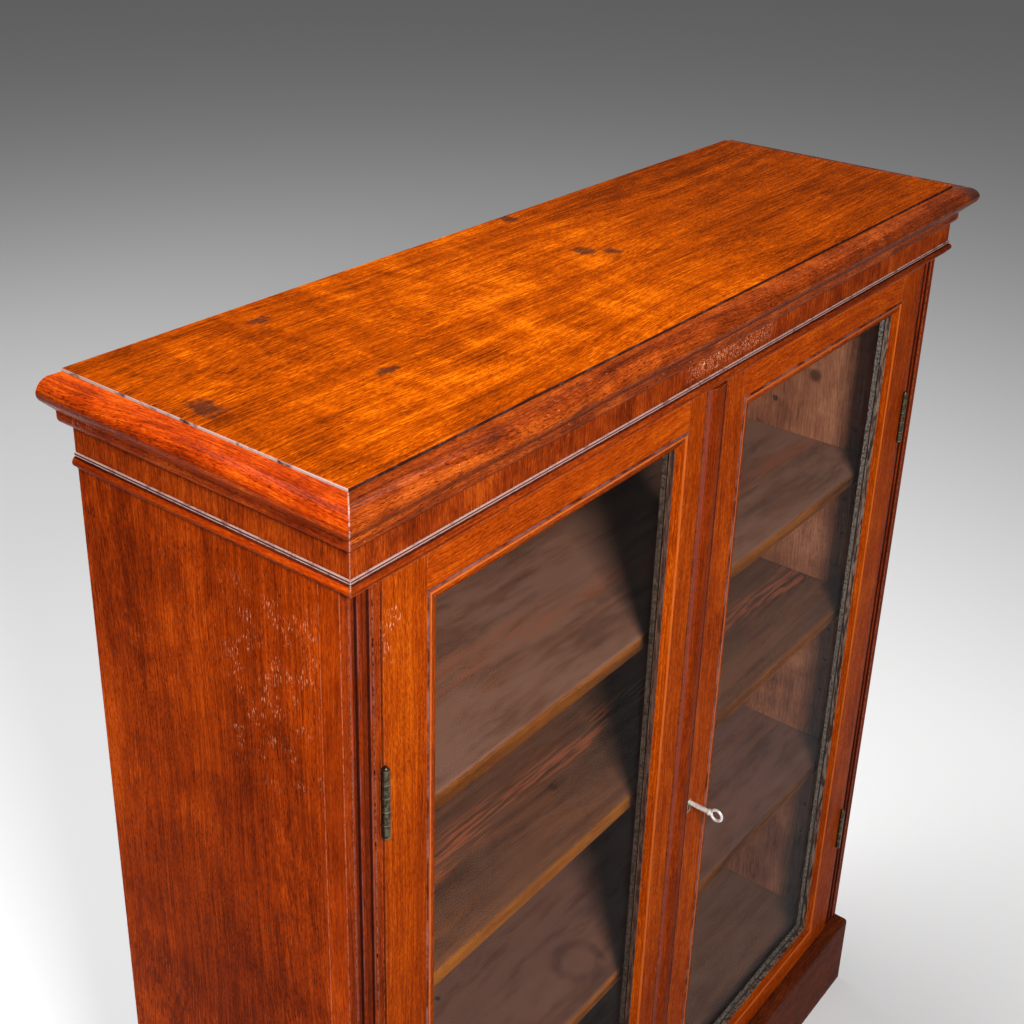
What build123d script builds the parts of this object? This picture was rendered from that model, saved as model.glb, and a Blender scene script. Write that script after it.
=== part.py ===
from build123d import *
import os

# A glazed two-door bookcase with three adjustable shelves.
#
# Millimetres. +Z is up, the front faces -Y, and X runs across. The origin is under the middle of
# the whole object, on the floor. In this file y is measured back from the front of the case, and
# block() and the rods add FRONT_Y. A distance "u" is measured out from the centre line towards a
# door's hinges, so x is u on the right-hand side and -u on the left.

# ------------------------------------------------------------------------------- driving sizes
TOP_HALF = 500.0            # half the width of the raised top panel
TOP_HEIGHT = 1224.0         # floor to the top
TOP_FRONT = -8.5            # front edge of the raised panel, in front of the case
BACK_OVERHANG = 11.5        # the top passes the back of the case
CASE_HALF = 502.5
CASE_DEPTH = 283.8
KEY_REACH = 44.0            # the end of the key, in front of the case
FRONT_Y = -(CASE_DEPTH + BACK_OVERHANG - KEY_REACH) / 2

TOP_THICKNESS = 22.0
SIDE_THICKNESS = 20.0
FRAME_DEPTH = 20.5          # pilasters and head rail, front to back
PILASTER_WIDTH = 39.8
BACK_THICKNESS = 8.0
BOARD_COUNT = 6             # upright boards in the back
CARCASS_TOP_THICKNESS = 18.0
BOTTOM_TOP_Z = 118.0        # upper face of the bottom board
BOTTOM_THICKNESS = 18.0
HOUSING = 6.0               # depth of the grooves that hold the boards in the sides

FRIEZE_OUT = 3.2            # mouldings are drawn outwards from the edge of the top panel
FRIEZE_BOTTOM = 1143.0
CORNICE_BOTTOM = 1179.5     # where the cornice meets the face of the frieze
ASTRAGAL_TOP = 1157.5
ASTRAGAL_BOTTOM = 1145.0
HEAD_RAIL_BOTTOM = 1135.0
PLINTH_OUT = 8.6
PLINTH_EDGE = 106.6         # where the worked top edge of the plinth begins
PLINTH_SHOULDER = 117.0     # its height at the side of the case
MITRE_REACH = 60.0          # how far the mitre planes run on either side of a corner

SHELF_THICKNESS = 18.0
SHELF_FRONT = 31.5
SHELF_BACK = 272.0
SHELF_END_GAP = 1.5
PEG_RADIUS = 3.0
PEG_DEPTH = 12.0            # depth of a peg hole
PEG_PITCH = 49.5
PEG_ROWS = 14
PEG_LINES = (62.0, 238.0)   # two lines of holes in each side
LOWEST_PEG = 250.0          # centre of the lowest hole
SHELF_PEG_ROW = {"shelf_lower": 3, "shelf_middle": 8, "shelf_upper": 12}

DOOR_FACE = -2.0            # the doors stand a little proud of the case
DOOR_THICKNESS = 22.0
DOOR_BOTTOM = 119.5
DOOR_TOP = 1134.0
DOOR_GAP = 0.8              # between a door and its pilaster
MEETING_GAP = 1.5           # between the two doors
STILE_FLAT = 48.3
RAIL_FLAT = 31.0
MEETING_SIGHT = 51.5        # centre line to the outer edge of the glazing moulding
BEAD_REACH = {"left": 21.5, "right": 12.5}  # the bead on the right-hand door, about the centre line
BEAD_HEIGHT = 5.5
MOULDING_WIDTH = 14.0
GLAZING_BEAD_WIDTH = 13.5
GLASS_FRONT = 8.0
GLASS_THICKNESS = 2.5
TENON_LENGTH = 24.0
TENON_FRONT, TENON_BACK = 2.0, 9.0

HINGE_HEIGHTS = (304.4, 939.8)
HINGE_LENGTH = 63.5
HINGE_AXIS_Y = -3.9
LEAF_WIDTH = 17.0           # how far a leaf reaches behind the case front
LEAF_THICKNESS = 1.6
KNUCKLE_RADIUS = 3.3
KNUCKLES = 5
PIN_RADIUS = 1.6
RUNNING_FIT = 0.05
SCREW_RADIUS = 1.5
SCREW_HEAD_RADIUS = 3.0
SCREW_SHANK = 10.0
SCREW_TIP = 4.0

KEY_U = 18.0
KEY_Z = 633.5
KEYHOLE = (3.0, 1.4, 11.5)  # radius of the eye, half width of the slot, and its reach downwards
ESCUTCHEON = (4.4, 2.8, 13.0)
ESCUTCHEON_DEPTH = 2.5
BOLT_THROW = 8.0
BOLT_Y = (10.0, 17.0)       # the head of the lock bolt, front to back
BOLT_Z = (629.5, 643.5)
BOLT_PLATE_Y = (12.0, 15.0) # the thinner plate behind the head
BOLT_PLATE_Z = (625.5, 645.5)
LOCK_HALF_HEIGHT = 22.0
LOCK_INNER_U = 41.5
LOCK_PLATE = 1.5
STRIKE_Y = (6.0, 19.0)
STRIKE_Z = (606.5, 666.5)

SLIDE_BOLT_U = 36.0
SLIDE_BOLT_Y = 14.0
SLIDE_BOLT_THROW = 12.0
SLIDE_BOLT_LENGTH = 60.0
SLIDE_BOLT_RADIUS = 3.0
SLIDE_STEM_RADIUS = 2.0
SLIDE_PLATE_LENGTH = 75.0
SLIDE_PLATE_HALF_WIDTH = 8.0
KEEP_THICKNESS = 1.2
KEEP_HOLE_RADIUS = 3.5

# ------------------------------------------------------------------------------ derived places
CORNICE_FLOOR = TOP_HEIGHT - TOP_THICKNESS
SIDE_INNER = CASE_HALF - SIDE_THICKNESS
PILASTER_INNER = CASE_HALF - PILASTER_WIDTH
FRIEZE_INNER = TOP_HALF + TOP_FRONT
CASE_OUT = CASE_HALF - TOP_HALF
BACK_FRONT = CASE_DEPTH - BACK_THICKNESS
HINGE_U = PILASTER_INNER - DOOR_GAP / 2
KNUCKLE_PITCH = HINGE_LENGTH / KNUCKLES
DOOR_OUTER = PILASTER_INNER - DOOR_GAP
DOOR_BACK = DOOR_FACE + DOOR_THICKNESS
SIGHT_OUTER = DOOR_OUTER - STILE_FLAT
FREE_EDGE = {"left": BEAD_REACH["left"] + MEETING_GAP, "right": -BEAD_REACH["left"]}
OPENING_BOTTOM = DOOR_BOTTOM + RAIL_FLAT
OPENING_TOP = DOOR_TOP - RAIL_FLAT
SIGN = {"left": -1, "right": 1}


# -------------------------------------------------------------------------------- small helpers
def block(x0, x1, y0, y1, z0, z1):
    """A rectangular block between six planes."""
    middle = Pos((x0 + x1) / 2, FRONT_Y + (y0 + y1) / 2, (z0 + z1) / 2)
    return middle * Box(abs(x1 - x0), abs(y1 - y0), abs(z1 - z0))


def rod_x(radius, x0, x1, y, z):
    middle = Pos((x0 + x1) / 2, FRONT_Y + y, z)
    return middle * Rot(0, 90, 0) * Cylinder(radius, abs(x1 - x0))


def rod_y(radius, x, y0, y1, z):
    middle = Pos(x, FRONT_Y + (y0 + y1) / 2, z)
    return middle * Rot(90, 0, 0) * Cylinder(radius, abs(y1 - y0))


def rod_z(radius, x, y, z0, z1):
    return Pos(x, FRONT_Y + y, (z0 + z1) / 2) * Cylinder(radius, abs(z1 - z0))


def mirrored(shape):
    return mirror(shape, about=Plane.YZ)


def save(name, *pieces):
    """Write one node, keeping every piece in it as a separate solid."""
    solids = [solid for piece in pieces for solid in piece.solids()]
    shape = solids[0] if len(solids) == 1 else Compound(solids)
    export_step(shape, f"parts/{name}.step")


def save_both(name, right_piece):
    save(f"{name}_right", right_piece)
    save(f"{name}_left", mirrored(right_piece))


# ------------------------------------------------------------- mouldings mitred round the front
def prism(points, z0, z1):
    """An upright prism on a plan outline, with y measured from the case front."""
    outline = Polyline(*[(x, FRONT_Y + y) for x, y in points], close=True)
    return Pos(0, 0, z0) * extrude(make_face(outline), amount=z1 - z0)


def front_moulding(section):
    """Run a section along the front and mitre both ends on the corners of the top panel."""
    plane = Plane(origin=(0, FRONT_Y + TOP_FRONT, 0), x_dir=(0, -1, 0), z_dir=(-1, 0, 0))
    bar = extrude(plane * section, amount=TOP_HALF + MITRE_REACH, both=True)
    outer, inner = TOP_HALF + MITRE_REACH, TOP_HALF - MITRE_REACH
    near, far = TOP_FRONT - MITRE_REACH, TOP_FRONT + MITRE_REACH
    return bar & prism([(-outer, near), (outer, near), (inner, far), (-inner, far)], 0, TOP_HEIGHT)


def side_moulding(section, back):
    """Run a section along the right-hand side, mitred at the front and square at the back."""
    plane = Plane(origin=(TOP_HALF, FRONT_Y + back, 0), x_dir=(1, 0, 0), z_dir=(0, -1, 0))
    bar = extrude(plane * section, amount=back - TOP_FRONT + MITRE_REACH)
    outer, inner = TOP_HALF + MITRE_REACH, TOP_HALF - MITRE_REACH
    near, far = TOP_FRONT - MITRE_REACH, TOP_FRONT + MITRE_REACH
    plan = [(outer, near), (inner, far), (inner, back), (outer, back)]
    return bar & prism(plan, 0, TOP_HEIGHT)


def cornice_section():
    """A thumb-nosed cornice over a fillet and a small quarter round."""
    lip = TOP_HEIGHT - 2.6
    foot = CORNICE_BOTTOM
    upper = Polyline((FRIEZE_OUT, CORNICE_FLOOR), (0, CORNICE_FLOOR), (0, lip), (11, lip + 0.4))
    crown = ThreePointArc((11, lip + 0.4), (20.9, lip - 3.0), (25.0, lip - 10.0))
    nose = ThreePointArc((25.0, lip - 10.0), (24.4, lip - 14.0), (21.6, lip - 18.0))
    soffit = Polyline((21.6, lip - 18.0), (9.0, foot + 11.8), (9.0, foot + 7.0))
    quarter = ThreePointArc((9.0, foot + 7.0), (7.3, foot + 2.1), (FRIEZE_OUT, foot))
    back = Line((FRIEZE_OUT, foot), (FRIEZE_OUT, CORNICE_FLOOR))
    return make_face(upper + crown + nose + soffit + quarter + back)


def astragal_section():
    """A narrow fillet and quirk over a bead."""
    face, low, high = FRIEZE_OUT, ASTRAGAL_BOTTOM, ASTRAGAL_TOP
    upper = Polyline((face, low), (face, high), (4.7, high), (4.7, high - 2.7), (4.0, high - 3.5))
    bead = ThreePointArc((4.0, high - 3.5), (7.4, low + 4.6), (4.0, low))
    return make_face(upper + bead + Line((4.0, low), (face, low)))


def frieze_section():
    return make_face(Polyline((TOP_FRONT, FRIEZE_BOTTOM), (FRIEZE_OUT, FRIEZE_BOTTOM),
                              (FRIEZE_OUT, CORNICE_FLOOR), (TOP_FRONT, CORNICE_FLOOR), close=True))


def plinth_section(inner, inner_height):
    """A board with an ovolo worked along its top edge, from the given inner face outwards."""
    lower = Polyline((inner, inner_height), (inner, 0), (PLINTH_OUT, 0), (PLINTH_OUT, PLINTH_EDGE))
    ovolo = ThreePointArc((PLINTH_OUT, PLINTH_EDGE), (7.0, 112.6), (CASE_OUT, PLINTH_SHOULDER))
    if inner == CASE_OUT:
        return make_face(lower + ovolo)
    return make_face(lower + ovolo + Line((CASE_OUT, PLINTH_SHOULDER), (inner, inner_height)))


def make_mouldings():
    for name, section, back in (
        ("cornice", cornice_section(), CASE_DEPTH + BACK_OVERHANG),
        ("frieze", frieze_section(), CASE_DEPTH),
        ("astragal", astragal_section(), CASE_DEPTH),
    ):
        save(f"{name}_front", front_moulding(section))
        save_both(name, side_moulding(section, back))
    # The front plinth board is thicker than the side ones, so its core runs on past the mitres.
    front = front_moulding(plinth_section(TOP_FRONT, BOTTOM_TOP_Z))
    core = prism([(-CASE_HALF, TOP_FRONT - CASE_OUT), (CASE_HALF, TOP_FRONT - CASE_OUT),
                  (CASE_HALF, 0), (-CASE_HALF, 0)], 0, PLINTH_SHOULDER)
    save("plinth_front", front + core)
    save_both("plinth", side_moulding(plinth_section(CASE_OUT, PLINTH_SHOULDER), CASE_DEPTH))


# --------------------------------------------------------------------------------- the carcass
def make_top_board():
    back = CASE_DEPTH + BACK_OVERHANG
    board = block(-TOP_HALF, TOP_HALF, TOP_FRONT, back, CORNICE_FLOOR, TOP_HEIGHT)
    rim = board.faces().sort_by(Axis.Z)[-1].edges()
    save("top_board", fillet([edge for edge in rim if edge.center().Y < FRONT_Y + back - 1], 1.0))


def peg_heights():
    return [LOWEST_PEG + row * PEG_PITCH for row in range(PEG_ROWS)]


def make_sides():
    side = block(SIDE_INNER, CASE_HALF, FRAME_DEPTH, CASE_DEPTH, 0, CORNICE_FLOOR)
    side -= block(FRIEZE_INNER, CASE_HALF + 1, 0, CASE_DEPTH + 1, FRIEZE_BOTTOM, TOP_HEIGHT)
    side -= block(SIDE_INNER, SIDE_INNER + HOUSING, FRAME_DEPTH, BACK_FRONT,
                  BOTTOM_TOP_Z - BOTTOM_THICKNESS, BOTTOM_TOP_Z)
    side -= block(SIDE_INNER, SIDE_INNER + HOUSING - 1, FRAME_DEPTH, BACK_FRONT,
                  CORNICE_FLOOR - CARCASS_TOP_THICKNESS, CORNICE_FLOOR)
    side -= block(SIDE_INNER, SIDE_INNER + BACK_THICKNESS, BACK_FRONT, CASE_DEPTH, 0, TOP_HEIGHT)
    holes = [rod_x(PEG_RADIUS, SIDE_INNER, SIDE_INNER + PEG_DEPTH, y, z)
             for y in PEG_LINES for z in peg_heights()]
    save_both("side_panel", side - holes)


def pilaster_section():
    """A flat margin, then bead, hollow, reed, hollow and bead, then a flat beside the door."""
    outer, inner = CASE_HALF, PILASTER_INNER
    sunk = 1.7
    stretches = (("flat", 8.7), ("bead", 3.6), ("hollow", 4.6), ("bead", 5.6),
                 ("hollow", 6.4), ("bead", 3.6))
    path = Line((outer, FRAME_DEPTH), (outer, 0))
    u, level = outer, 0.0
    for kind, width in stretches:
        end = u - width
        if kind == "flat":
            path += Polyline((u, level), (end, 0), (end, sunk))
        if kind == "bead":
            path += ThreePointArc((u, sunk), ((u + end) / 2, 0), (end, sunk))
        if kind == "hollow":
            path += ThreePointArc((u, sunk), ((u + end) / 2, sunk + 1.9), (end, sunk))
        u = end
    path += Polyline((u, sunk), (u, 0), (inner, 0), (inner, FRAME_DEPTH), (outer, FRAME_DEPTH))
    return Pos(0, FRONT_Y, 0) * make_face(path)


def leaf_mortise(side_u, deeper_u, front):
    """The shallow recess that lets a hinge leaf in flush, for both hinges of a door."""
    half = HINGE_LENGTH / 2
    return [block(side_u, deeper_u, front, LEAF_WIDTH, z - half, z + half) for z in HINGE_HEIGHTS]


def hinge_screw_places():
    return [(z + offset, y) for z in HINGE_HEIGHTS for offset, y in
            ((-24.0, 10.5), (0.0, 7.5), (24.0, 10.5))]


def screw(head_x, direction, y, z):
    """A countersunk wood screw that points along X, with a slot across its head."""
    from_end = (Align.CENTER, Align.CENTER, Align.MIN)
    head = Cone(SCREW_HEAD_RADIUS, SCREW_RADIUS, LEAF_THICKNESS, align=from_end)
    shank = Pos(0, 0, LEAF_THICKNESS) * Cylinder(SCREW_RADIUS, SCREW_SHANK, align=from_end)
    tip = Cone(SCREW_RADIUS, 0.3, SCREW_TIP, align=from_end)
    body = head + shank + Pos(0, 0, LEAF_THICKNESS + SCREW_SHANK) * tip
    slot = Box(2 * SCREW_HEAD_RADIUS, 0.8, 1.2)
    return Pos(head_x, FRONT_Y + y, z) * Rot(0, 90 * direction, 0) * (body - slot)


def screw_bore(head_x, direction, y, z):
    """The countersink and pilot hole that a screw sits in."""
    from_end = (Align.CENTER, Align.CENTER, Align.MIN)
    clear = RUNNING_FIT
    depth = LEAF_THICKNESS + SCREW_SHANK + SCREW_TIP + clear
    head = Cone(SCREW_HEAD_RADIUS + clear, SCREW_RADIUS + clear, LEAF_THICKNESS, align=from_end)
    shank = Cylinder(SCREW_RADIUS + clear, depth, align=from_end)
    return Pos(head_x, FRONT_Y + y, z) * Rot(0, 90 * direction, 0) * (head + shank)


def make_pilasters():
    post = extrude(pilaster_section(), amount=CORNICE_FLOOR)
    post -= block(FRIEZE_INNER, CASE_HALF + 1, -1, FRAME_DEPTH + 1, FRIEZE_BOTTOM, TOP_HEIGHT)
    post -= leaf_mortise(PILASTER_INNER, PILASTER_INNER + LEAF_THICKNESS, -1)
    post -= head_rail_tenon(1)
    post -= [screw_bore(PILASTER_INNER, 1, y, z) for z, y in hinge_screw_places()]
    save_both("pilaster", post)


def head_rail_tenon(direction):
    shoulder = direction * PILASTER_INNER
    return block(shoulder, shoulder + direction * 15.0, 6.0, 14.0,
                 HEAD_RAIL_BOTTOM + 10, CORNICE_FLOOR - 10)


def keep_plate(z0, z1):
    half_length, half_width = 12.0, 5.5
    return block(-SLIDE_BOLT_U - half_length, -SLIDE_BOLT_U + half_length,
                 SLIDE_BOLT_Y - half_width, SLIDE_BOLT_Y + half_width, z0, z1)


def make_frame_boards():
    keep_depth = SLIDE_BOLT_THROW + 3
    upper_hole = rod_z(KEEP_HOLE_RADIUS, -SLIDE_BOLT_U, SLIDE_BOLT_Y,
                       HEAD_RAIL_BOTTOM, HEAD_RAIL_BOTTOM + keep_depth)
    upper_keep = keep_plate(HEAD_RAIL_BOTTOM, HEAD_RAIL_BOTTOM + KEEP_THICKNESS)
    lower_hole = rod_z(KEEP_HOLE_RADIUS, -SLIDE_BOLT_U, SLIDE_BOLT_Y,
                       BOTTOM_TOP_Z - keep_depth, BOTTOM_TOP_Z)
    lower_keep = keep_plate(BOTTOM_TOP_Z - KEEP_THICKNESS, BOTTOM_TOP_Z)

    rail = block(-PILASTER_INNER, PILASTER_INNER, 0, FRAME_DEPTH, HEAD_RAIL_BOTTOM, CORNICE_FLOOR)
    rail += head_rail_tenon(1) + head_rail_tenon(-1)
    save("head_rail", rail - upper_hole - upper_keep)

    housed = SIDE_INNER + HOUSING
    underside = BOTTOM_TOP_Z - BOTTOM_THICKNESS
    board = block(-housed, housed, FRAME_DEPTH, BACK_FRONT, underside, BOTTOM_TOP_Z)
    board += block(-PILASTER_INNER, PILASTER_INNER, 0, FRAME_DEPTH, underside, BOTTOM_TOP_Z)
    save("bottom_board", board - lower_hole - lower_keep)
    save("bolt_keeps", upper_keep - upper_hole, lower_keep - lower_hole)

    save("carcass_top", block(1 - housed, housed - 1, FRAME_DEPTH, BACK_FRONT,
                              CORNICE_FLOOR - CARCASS_TOP_THICKNESS, CORNICE_FLOOR))
    save("plinth_back", block(-SIDE_INNER, SIDE_INNER, BACK_FRONT - SIDE_THICKNESS, BACK_FRONT,
                              0, underside))
    stop_depth = 12.0
    save("door_stops",
         block(-PILASTER_INNER, PILASTER_INNER, FRAME_DEPTH, FRAME_DEPTH + stop_depth,
               HEAD_RAIL_BOTTOM - 12, CORNICE_FLOOR - CARCASS_TOP_THICKNESS),
         block(-PILASTER_INNER, PILASTER_INNER, FRAME_DEPTH, FRAME_DEPTH + stop_depth,
               BOTTOM_TOP_Z, BOTTOM_TOP_Z + 10))
    block_length, block_size = 60.0, 22.0
    save("glue_blocks", *[block(x - block_length / 2, x + block_length / 2, 0, block_size,
                                underside - block_size, underside)
                          for x in (-360, -180, 0, 180, 360)])


def make_back_boards():
    """Upright boards, each with a tongue that fits a groove in the next one."""
    edge = SIDE_INNER + BACK_THICKNESS
    width = 2 * edge / BOARD_COUNT
    tongue = 5.0
    tongue_front, tongue_back = BACK_FRONT + 2.5, BACK_FRONT + 5.5
    foot = 60.0
    boards = []
    for index in range(BOARD_COUNT):
        x0 = -edge + index * width
        board = block(x0, x0 + width, BACK_FRONT, CASE_DEPTH, foot, CORNICE_FLOOR)
        if index > 0:
            board -= block(x0, x0 + tongue, tongue_front, tongue_back, foot, CORNICE_FLOOR)
        if index < BOARD_COUNT - 1:
            board += block(x0 + width, x0 + width + tongue, tongue_front, tongue_back,
                           foot, CORNICE_FLOOR)
        boards.append(board)
    save("back_boards", *boards)


# --------------------------------------------------------------------------------- the shelves
def shelf_underside(name):
    return LOWEST_PEG + SHELF_PEG_ROW[name] * PEG_PITCH + PEG_RADIUS


def make_shelves():
    half = SIDE_INNER - SHELF_END_GAP
    pegs = []
    for name in SHELF_PEG_ROW:
        z0 = shelf_underside(name)
        board = block(-half, half, SHELF_FRONT, SHELF_BACK, z0, z0 + SHELF_THICKNESS)
        front = board.faces().sort_by(Axis.Y)[0].edges().filter_by(Axis.X)
        save(name, fillet(front, 5.0))
        for sign in (-1, 1):
            for y in PEG_LINES:
                pegs.append(shelf_peg(sign, y, z0 - PEG_RADIUS))
    save("shelf_pegs", *pegs)


def shelf_peg(sign, y, z):
    """A turned stud: a shank in the side, a thin collar on its surface and a stub for the shelf."""
    face = sign * SIDE_INNER
    shank = rod_x(PEG_RADIUS - RUNNING_FIT, face, face + sign * (PEG_DEPTH - 1), y, z)
    stub = rod_x(PEG_RADIUS, face, face - sign * 10.0, y, z)
    collar = rod_x(PEG_RADIUS + 1.5, face, face - sign * 1.2, y, z)
    return shank + stub + collar


# ----------------------------------------------------------------------------------- the doors
def mitred_member(section, length, width):
    """One straight member of a mitred frame, centred on X, its section growing up from z = 0."""
    bar = extrude(Plane.YZ * section, amount=length / 2, both=True)
    outline = Polyline((-length / 2, 0), (length / 2, 0), (length / 2 - width, width),
                       (width - length / 2, width), close=True)
    wedge = extrude(Plane.XZ * make_face(outline), amount=200, both=True)
    return bar & wedge


def mitred_frame(section, width, x0, x1, z0, z1):
    """Four members round a rectangle, with the section drawn from the outside inwards."""
    centre = Pos((x0 + x1) / 2, FRONT_Y, (z0 + z1) / 2)
    across, upright = abs(x1 - x0), abs(z1 - z0)
    members = []
    for turn, length, other in ((0, across, upright), (90, upright, across),
                                (180, across, upright), (270, upright, across)):
        member = mitred_member(section, length, width)
        members.append(centre * Rot(0, turn, 0) * Pos(0, 0, -other / 2) * member)
    return members


def glazing_moulding_section():
    """A fine bead and quirk, then an ovolo that falls to the glass. Points are (y, inwards)."""
    crest = DOOR_FACE - 1.2
    bead = ThreePointArc((DOOR_FACE, 0), (crest, 1.6), (DOOR_FACE + 0.6, 3.2))
    quirk = Line((DOOR_FACE + 0.6, 3.2), (DOOR_FACE - 0.4, 4.2))
    ovolo = ThreePointArc((DOOR_FACE - 0.4, 4.2), (-1.1, 10.2), (2.2, MOULDING_WIDTH))
    rest = Polyline((2.2, MOULDING_WIDTH), (GLASS_FRONT, MOULDING_WIDTH), (GLASS_FRONT, 0),
                    (DOOR_FACE, 0))
    return make_face(bead + quirk + ovolo + rest)


def glazing_bead_section():
    front = GLASS_FRONT + GLASS_THICKNESS
    width = GLAZING_BEAD_WIDTH
    return make_face(Polyline((front, 0), (front, width), (front + 4.5, width),
                              (front + 8.0, width - 5.5), (front + 8.0, 0), close=True))


def tenon(sign, shoulder_u, direction, z0, z1):
    inset = 5.0
    return block(sign * shoulder_u, sign * (shoulder_u + direction * TENON_LENGTH),
                 TENON_FRONT, TENON_BACK, z0 + inset, z1 - inset)


def door_tenons(sign, shoulder_u, direction):
    return [tenon(sign, shoulder_u, direction, OPENING_TOP, DOOR_TOP),
            tenon(sign, shoulder_u, direction, DOOR_BOTTOM, OPENING_BOTTOM)]


def outer_stile(sign):
    stile = block(sign * SIGHT_OUTER, sign * DOOR_OUTER, DOOR_FACE, DOOR_BACK, DOOR_BOTTOM, DOOR_TOP)
    stile -= door_tenons(sign, SIGHT_OUTER, 1)
    stile -= leaf_mortise(sign * DOOR_OUTER, sign * (DOOR_OUTER - LEAF_THICKNESS), DOOR_FACE - 1)
    half = HINGE_LENGTH / 2 + 2.5
    stile -= [rod_z(KNUCKLE_RADIUS + 0.4, sign * HINGE_U, HINGE_AXIS_Y, z - half, z + half)
              for z in HINGE_HEIGHTS]
    stile -= [screw_bore(sign * DOOR_OUTER, -sign, y, z) for z, y in hinge_screw_places()]
    return stile


def inner_stile(hand):
    sign = SIGN[hand]
    edge = sign * FREE_EDGE[hand]
    stile = block(edge, sign * MEETING_SIGHT, DOOR_FACE, DOOR_BACK, DOOR_BOTTOM, DOOR_TOP)
    stile -= door_tenons(sign, MEETING_SIGHT, -1)
    if hand == "right":
        stile -= block(edge, LOCK_INNER_U, GLASS_FRONT, DOOR_BACK,
                       KEY_Z - LOCK_HALF_HEIGHT, KEY_Z + LOCK_HALF_HEIGHT)
        stile -= keyhole(KEYHOLE, DOOR_FACE, GLASS_FRONT)
        return stile - keyhole(ESCUTCHEON, DOOR_FACE, DOOR_FACE + ESCUTCHEON_DEPTH)
    stile -= strike_plate_blank() + bolt_pocket(edge - BOLT_THROW - 0.5)
    stile -= [screw_bore(edge, -1, y, z) for z, y in strike_screw_places()]
    for end in (1, -1):
        stile -= slide_plate_blank(end) + slide_bolt_groove(end)
    return stile


def make_door(hand):
    sign = SIGN[hand]
    near, far = sign * MEETING_SIGHT, sign * SIGHT_OUTER
    save(f"{hand}_door_stile_outer", outer_stile(sign))
    save(f"{hand}_door_stile_inner", inner_stile(hand))
    for name, z0, z1 in (("top", OPENING_TOP, DOOR_TOP), ("bottom", DOOR_BOTTOM, OPENING_BOTTOM)):
        rail = block(near, far, DOOR_FACE, DOOR_BACK, z0, z1)
        rail += tenon(sign, SIGHT_OUTER, 1, z0, z1) + tenon(sign, MEETING_SIGHT, -1, z0, z1)
        save(f"{hand}_door_rail_{name}", rail)
    opening = (near, far, OPENING_BOTTOM, OPENING_TOP)
    save(f"{hand}_door_mouldings",
         *mitred_frame(glazing_moulding_section(), MOULDING_WIDTH, *opening))
    save(f"{hand}_door_glazing_beads", *mitred_frame(glazing_bead_section(), GLAZING_BEAD_WIDTH, *opening))
    edge_gap = 1.0
    save(f"{hand}_door_glass",
         block(near + sign * edge_gap, far - sign * edge_gap, GLASS_FRONT,
               GLASS_FRONT + GLASS_THICKNESS, OPENING_BOTTOM + edge_gap, OPENING_TOP - edge_gap))


def make_meeting_bead():
    """A half round with a small fillet along each side."""
    start, end = -BEAD_REACH["left"], BEAD_REACH["right"]
    step, fillet_width = 1.2, 2.4
    low, base = DOOR_FACE - step, DOOR_FACE
    left = Polyline((start, base), (start, low), (start + fillet_width, low))
    crown = ThreePointArc((start + fillet_width, low), ((start + end) / 2, DOOR_FACE - BEAD_HEIGHT),
                          (end - fillet_width, low))
    right = Polyline((end - fillet_width, low), (end, low), (end, base), (start, base))
    section = Pos(0, FRONT_Y, DOOR_BOTTOM) * make_face(left + crown + right)
    save("meeting_bead", extrude(section, amount=DOOR_TOP - DOOR_BOTTOM))


# ---------------------------------------------------------------------------------- the hinges
def knuckles(z, first):
    """Every other knuckle of one hinge, at the right-hand door."""
    gap = 0.15
    bottom = z - HINGE_LENGTH / 2
    shape = None
    for index in range(first, KNUCKLES, 2):
        z0 = bottom + index * KNUCKLE_PITCH + gap
        z1 = bottom + (index + 1) * KNUCKLE_PITCH - gap
        barrel = rod_z(KNUCKLE_RADIUS, HINGE_U, HINGE_AXIS_Y, z0, z1)
        shape = barrel if shape is None else shape + barrel
    return shape


def hinge_leaf(z, plate_u, deeper_u, first, direction):
    """One leaf, cut back where the other leaf's knuckles turn."""
    half = HINGE_LENGTH / 2
    around = KNUCKLE_RADIUS + 2
    leaf = block(plate_u, deeper_u, HINGE_AXIS_Y, LEAF_WIDTH, z - half, z + half)
    for index in range(1 - first, KNUCKLES, 2):
        z0 = z - half + index * KNUCKLE_PITCH
        leaf -= block(HINGE_U - around, HINGE_U + around, HINGE_AXIS_Y - around,
                      HINGE_AXIS_Y + KNUCKLE_RADIUS + 0.2,
                      z0 - RUNNING_FIT, z0 + KNUCKLE_PITCH + RUNNING_FIT)
    leaf += knuckles(z, first)
    leaf -= rod_z(PIN_RADIUS + RUNNING_FIT, HINGE_U, HINGE_AXIS_Y, z - half - 1, z + half + 1)
    places = [(height, y) for height, y in hinge_screw_places() if abs(height - z) < half]
    return leaf - [screw_bore(plate_u, direction, y, height) for height, y in places]


def hinge_pin(z):
    """A pin with a small domed button at each end."""
    half = HINGE_LENGTH / 2
    button = 2.4
    pin = rod_z(PIN_RADIUS, HINGE_U, HINGE_AXIS_Y, z - half - 0.6, z + half + 0.6)
    for end in (-1, 1):
        base = z + end * (half + 0.2)
        dome = Pos(HINGE_U, FRONT_Y + HINGE_AXIS_Y, base) * Sphere(button)
        outer_half = block(HINGE_U - button, HINGE_U + button, HINGE_AXIS_Y - button,
                           HINGE_AXIS_Y + button, base, base + end * button)
        pin += dome & outer_half
    return pin


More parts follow.
